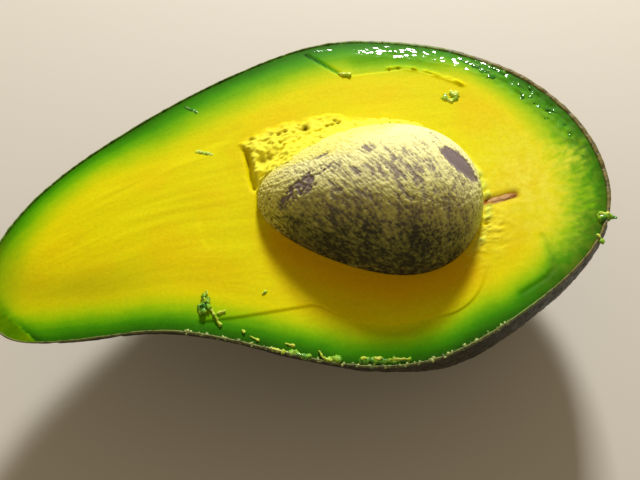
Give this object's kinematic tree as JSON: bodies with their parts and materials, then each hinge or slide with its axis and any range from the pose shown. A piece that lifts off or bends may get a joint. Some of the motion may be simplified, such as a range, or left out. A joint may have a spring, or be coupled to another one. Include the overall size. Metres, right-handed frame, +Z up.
{
  "type": "avocado half",
  "caption": "Half of a ripe pear-shaped avocado, cut lengthwise and lying on its back, cut face up, with thin pebbled skin, soft flesh and the seed in its hollow.",
  "frame": {"origin": "middle of the small flat spot on the skin that the half rests on", "axes": "+X along the fruit from the stem end to the blossom end, +Y to the far side across the cut face, +Z up out of the cut face"},
  "size_m": [0.1211, 0.0742, 0.0485],
  "materials": {
    "skin": "dark green brown, pebbled, slightly waxy",
    "flesh": "yellow, green near the skin, moist",
    "seed": "brown coat under a pale streaky film, dull",
    "seed_strand": "brown fibre, dull"
  },
  "bodies": {
    "root": {"skin": "skin", "flesh": "flesh", "seed": "seed", "seed_strand": "seed_strand"}
  },
  "joints": []
}
